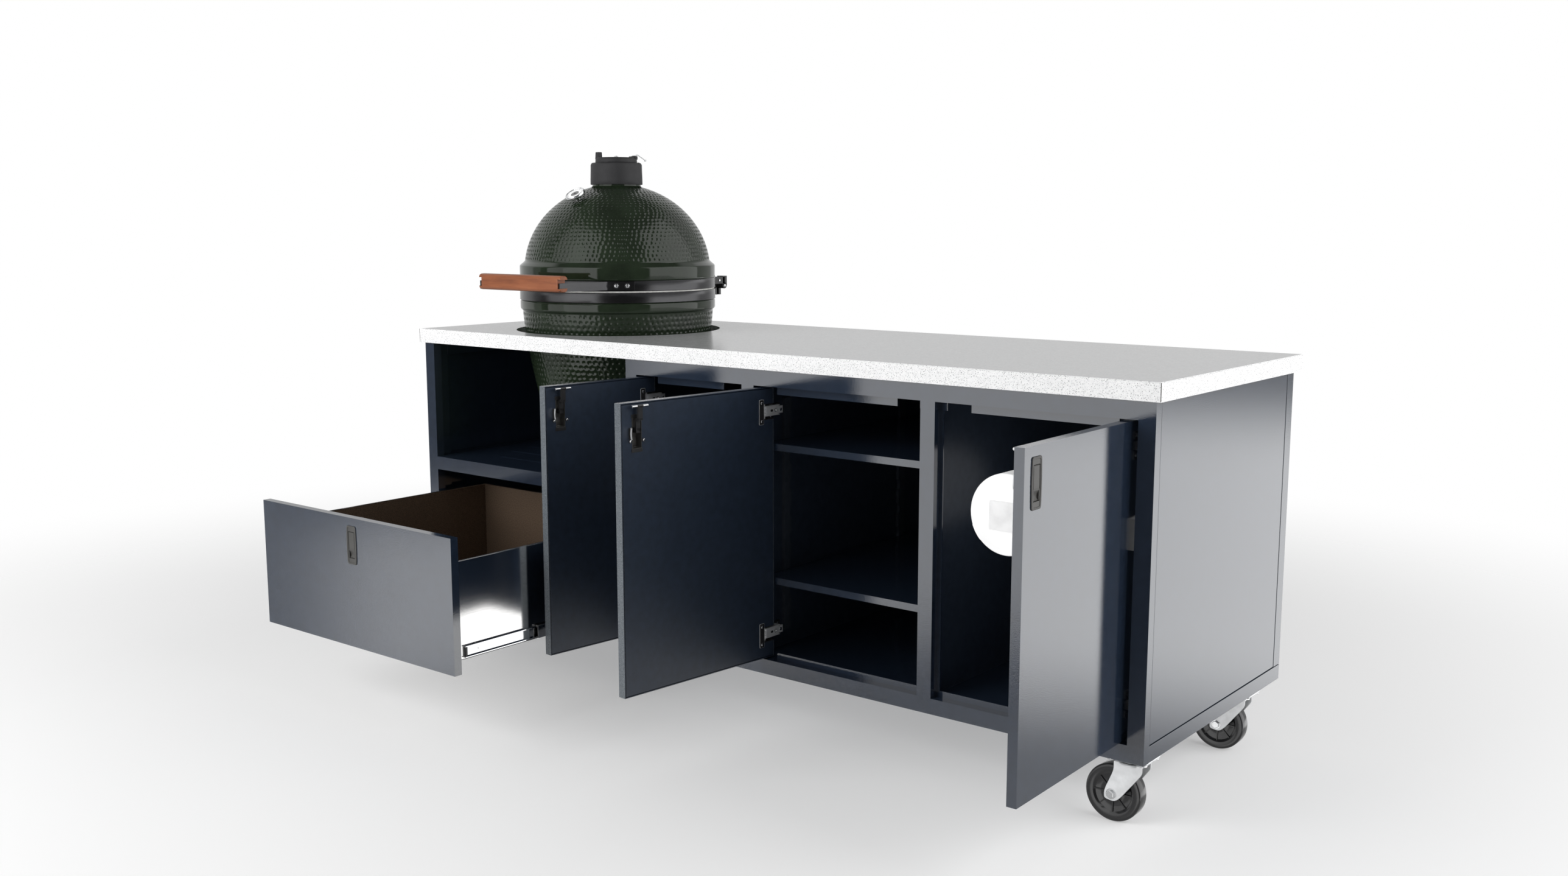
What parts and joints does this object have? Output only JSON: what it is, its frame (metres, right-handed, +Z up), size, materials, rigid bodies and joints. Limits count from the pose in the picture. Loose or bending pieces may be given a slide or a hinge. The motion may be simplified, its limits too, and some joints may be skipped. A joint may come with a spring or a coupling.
{
  "type": "grill cart",
  "caption": "Wheeled outdoor kitchen cart with a stone worktop, a sunk ceramic kamado grill, a deep drawer, a door over pull-out drawers and a waste bin, shelves, and a paper roll.",
  "frame": {"origin": "middle of the bounding box's underside, on the floor, with the doors and the big drawer open as pictured", "axes": "+X along the worktop to its right end as seen from the front, +Y from the front to the back, +Z up"},
  "size_m": [2.2, 1.289, 1.3803],
  "materials": {
    "navy_powder_coat": "fine textured glossy powder coat",
    "pale_stone": "polished, fine dark speckle",
    "green_glaze": "glossy, dimpled",
    "fire_clay": "matte",
    "black_steel": "satin black",
    "cast_black": "matte",
    "satin_steel": "satin",
    "zinc_steel": "bright zinc",
    "bright_chrome": "polished",
    "red_wood": "oiled",
    "white_felt": "felt",
    "grey_plastic": "fine grain",
    "black_plastic": "gloss black",
    "white_paper": "soft"
  },
  "bodies": {
    "cabinet": {"worktop": "pale_stone", "side_panels": "navy_powder_coat", "back_panel": "navy_powder_coat", "base_pan": "navy_powder_coat", "face_frame": "navy_powder_coat", "stop_frame": "navy_powder_coat", "partitions": "navy_powder_coat", "grill_shelf": "navy_powder_coat", "shelves": "navy_powder_coat", "shelf_standards": "navy_powder_coat", "hinge_plates": "black_steel", "hinge_arms": "bright_chrome", "slide_rails": "zinc_steel", "roll_holder": "satin_steel", "caster_plates": "zinc_steel", "grill_base": "green_glaze", "grill_fire_box": "fire_clay", "grill_grates": "satin_steel", "grill_lower_band": "black_steel", "grill_lower_gasket": "white_felt"},
    "grill_lid": {"grill_dome": "green_glaze", "grill_upper_band": "black_steel", "grill_upper_gasket": "white_felt", "grill_handle": "red_wood", "grill_handle_straps": "black_steel", "grill_thermometer": "bright_chrome", "grill_cap": "cast_black"},
    "cap_lid": {"grill_cap_lid": "cast_black"},
    "draft_door": {"grill_draft_door": "satin_steel"},
    "door_2": {"door_2_panel": "navy_powder_coat", "door_2_hinges": "black_steel", "door_2_latch": "black_steel"},
    "door_2_paddle_body": {"door_2_paddle": "black_steel"},
    "door_3": {"door_3_panel": "navy_powder_coat", "door_3_hinges": "black_steel", "door_3_latch": "black_steel"},
    "door_3_paddle_body": {"door_3_paddle": "black_steel"},
    "door_4": {"door_4_panel": "navy_powder_coat", "door_4_hinges": "black_steel", "door_4_latch": "black_steel"},
    "door_4_paddle_body": {"door_4_paddle": "black_steel"},
    "big_drawer": {"big_drawer_front": "navy_powder_coat", "big_drawer_box": "satin_steel", "big_drawer_latch": "black_steel"},
    "big_drawer_mid": {"big_drawer_mid_slides": "zinc_steel"},
    "big_drawer_paddle_body": {"big_drawer_paddle": "black_steel"},
    "upper_drawer": {"upper_drawer_box": "satin_steel"},
    "upper_drawer_mid": {"upper_drawer_mid_slides": "zinc_steel"},
    "lower_drawer": {"lower_drawer_box": "satin_steel", "waste_bin": "grey_plastic"},
    "lower_drawer_mid": {"lower_drawer_mid_slides": "zinc_steel"},
    "paper_roll_body": {"paper_roll": "white_paper"},
    "caster_1": {"caster_1_fork": "zinc_steel"},
    "caster_1_wheel_body": {"caster_1_wheel": "black_plastic"},
    "caster_2": {"caster_2_fork": "zinc_steel"},
    "caster_2_wheel_body": {"caster_2_wheel": "black_plastic"},
    "caster_3": {"caster_3_fork": "zinc_steel"},
    "caster_3_wheel_body": {"caster_3_wheel": "black_plastic"},
    "caster_4": {"caster_4_fork": "zinc_steel"},
    "caster_4_wheel_body": {"caster_4_wheel": "black_plastic"}
  },
  "joints": [
    {"name": "grill_lid_hinge", "type": "hinge", "parent": "cabinet", "child": "grill_lid", "pos_m": [-0.67, 0.5405, 1.011], "axis": [-1, 0, 0], "range_deg": [0, 75]},
    {"name": "cap_lid_turn", "type": "hinge", "parent": "grill_lid", "child": "cap_lid", "pos_m": [-0.63, 0.2785, 1.352], "axis": [0, 0, 1], "range_deg": [0, 150]},
    {"name": "draft_door_slide", "type": "slide", "parent": "cabinet", "child": "draft_door", "axis": [1, 0, 0], "range_m": [0, 0.11]},
    {"name": "door_2_hinge", "type": "hinge", "parent": "cabinet", "child": "door_2", "pos_m": [-0.248, -0.0825, 0.5005], "axis": [0, 0, -1], "range_deg": [-96, 0]},
    {"name": "door_2_paddle_pull", "type": "hinge", "parent": "door_2", "child": "door_2_paddle_body", "pos_m": [-0.28104, -0.34901, 0.7595], "axis": [0.1045, 0.9945, 0], "range_deg": [0, 25], "stiffness_Nm_per_rad": 0.5, "springref_deg": -11.46},
    {"name": "door_3_hinge", "type": "hinge", "parent": "cabinet", "child": "door_3", "pos_m": [0.126, -0.0825, 0.5005], "axis": [0, 0, -1], "range_deg": [-96, 0]},
    {"name": "door_3_paddle_pull", "type": "hinge", "parent": "door_3", "child": "door_3_paddle_body", "pos_m": [0.08052, -0.46735, 0.7595], "axis": [0.1045, 0.9945, 0], "range_deg": [0, 25], "stiffness_Nm_per_rad": 0.5, "springref_deg": -11.46},
    {"name": "door_4_hinge", "type": "hinge", "parent": "cabinet", "child": "door_4", "pos_m": [1.028, -0.0825, 0.5005], "axis": [0, 0, 1], "range_deg": [-91, 5]},
    {"name": "door_4_paddle_pull", "type": "hinge", "parent": "door_4", "child": "door_4_paddle_body", "pos_m": [1.03976, -0.46985, 0.7595], "axis": [0.0175, -0.9998, 0], "range_deg": [0, 25], "stiffness_Nm_per_rad": 0.5, "springref_deg": -11.46},
    {"name": "big_drawer_slide", "type": "slide", "parent": "cabinet", "child": "big_drawer", "axis": [0, -1, 0], "range_m": [-0.55, 0]},
    {"name": "big_drawer_mid_slide", "type": "slide", "parent": "cabinet", "child": "big_drawer_mid", "axis": [0, -1, 0], "range_m": [-0.3305, 0.0005]},
    {"name": "big_drawer_paddle_pull", "type": "hinge", "parent": "big_drawer", "child": "big_drawer_paddle_body", "pos_m": [-0.68, -0.6375, 0.4405], "axis": [-1, 0, 0], "range_deg": [0, 25], "stiffness_Nm_per_rad": 0.5, "springref_deg": -11.46},
    {"name": "upper_drawer_slide", "type": "slide", "parent": "cabinet", "child": "upper_drawer", "axis": [0, -1, 0], "range_m": [0, 0.6]},
    {"name": "upper_drawer_mid_slide", "type": "slide", "parent": "cabinet", "child": "upper_drawer_mid", "axis": [0, -1, 0], "range_m": [-0.0005, 0.3005]},
    {"name": "lower_drawer_slide", "type": "slide", "parent": "cabinet", "child": "lower_drawer", "axis": [0, -1, 0], "range_m": [0, 0.618]},
    {"name": "lower_drawer_mid_slide", "type": "slide", "parent": "cabinet", "child": "lower_drawer_mid", "axis": [0, -1, 0], "range_m": [-0.0005, 0.3095]},
    {"name": "paper_roll_turn", "type": "hinge", "parent": "cabinet", "child": "paper_roll_body", "pos_m": [0.74, 0.1015, 0.591], "axis": [0, 1, 0], "continuous": true},
    {"name": "caster_1_swivel", "type": "hinge", "parent": "cabinet", "child": "caster_1", "pos_m": [-0.974, -0.0415, 0.12], "axis": [0, 0, 1], "continuous": true},
    {"name": "caster_1_roll", "type": "hinge", "parent": "caster_1", "child": "caster_1_wheel_body", "pos_m": [-1.008, -0.0415, 0.06], "axis": [0, 1, 0], "continuous": true},
    {"name": "caster_2_swivel", "type": "hinge", "parent": "cabinet", "child": "caster_2", "pos_m": [1.042, -0.0415, 0.12], "axis": [0, 0, 1], "continuous": true},
    {"name": "caster_2_roll", "type": "hinge", "parent": "caster_2", "child": "caster_2_wheel_body", "pos_m": [1.008, -0.0415, 0.06], "axis": [0, 1, 0], "continuous": true},
    {"name": "caster_3_swivel", "type": "hinge", "parent": "cabinet", "child": "caster_3", "pos_m": [-0.974, 0.4865, 0.12], "axis": [0, 0, 1], "continuous": true},
    {"name": "caster_3_roll", "type": "hinge", "parent": "caster_3", "child": "caster_3_wheel_body", "pos_m": [-1.008, 0.4865, 0.06], "axis": [0, 1, 0], "continuous": true},
    {"name": "caster_4_swivel", "type": "hinge", "parent": "cabinet", "child": "caster_4", "pos_m": [1.042, 0.4865, 0.12], "axis": [0, 0, 1], "continuous": true},
    {"name": "caster_4_roll", "type": "hinge", "parent": "caster_4", "child": "caster_4_wheel_body", "pos_m": [1.008, 0.4865, 0.06], "axis": [0, 1, 0], "continuous": true}
  ],
  "couplings": [
    {"joint": "big_drawer_mid_slide", "follows": "big_drawer_slide", "ratio": 0.6},
    {"joint": "upper_drawer_mid_slide", "follows": "upper_drawer_slide", "ratio": 0.5},
    {"joint": "lower_drawer_mid_slide", "follows": "lower_drawer_slide", "ratio": 0.5}
  ]
}
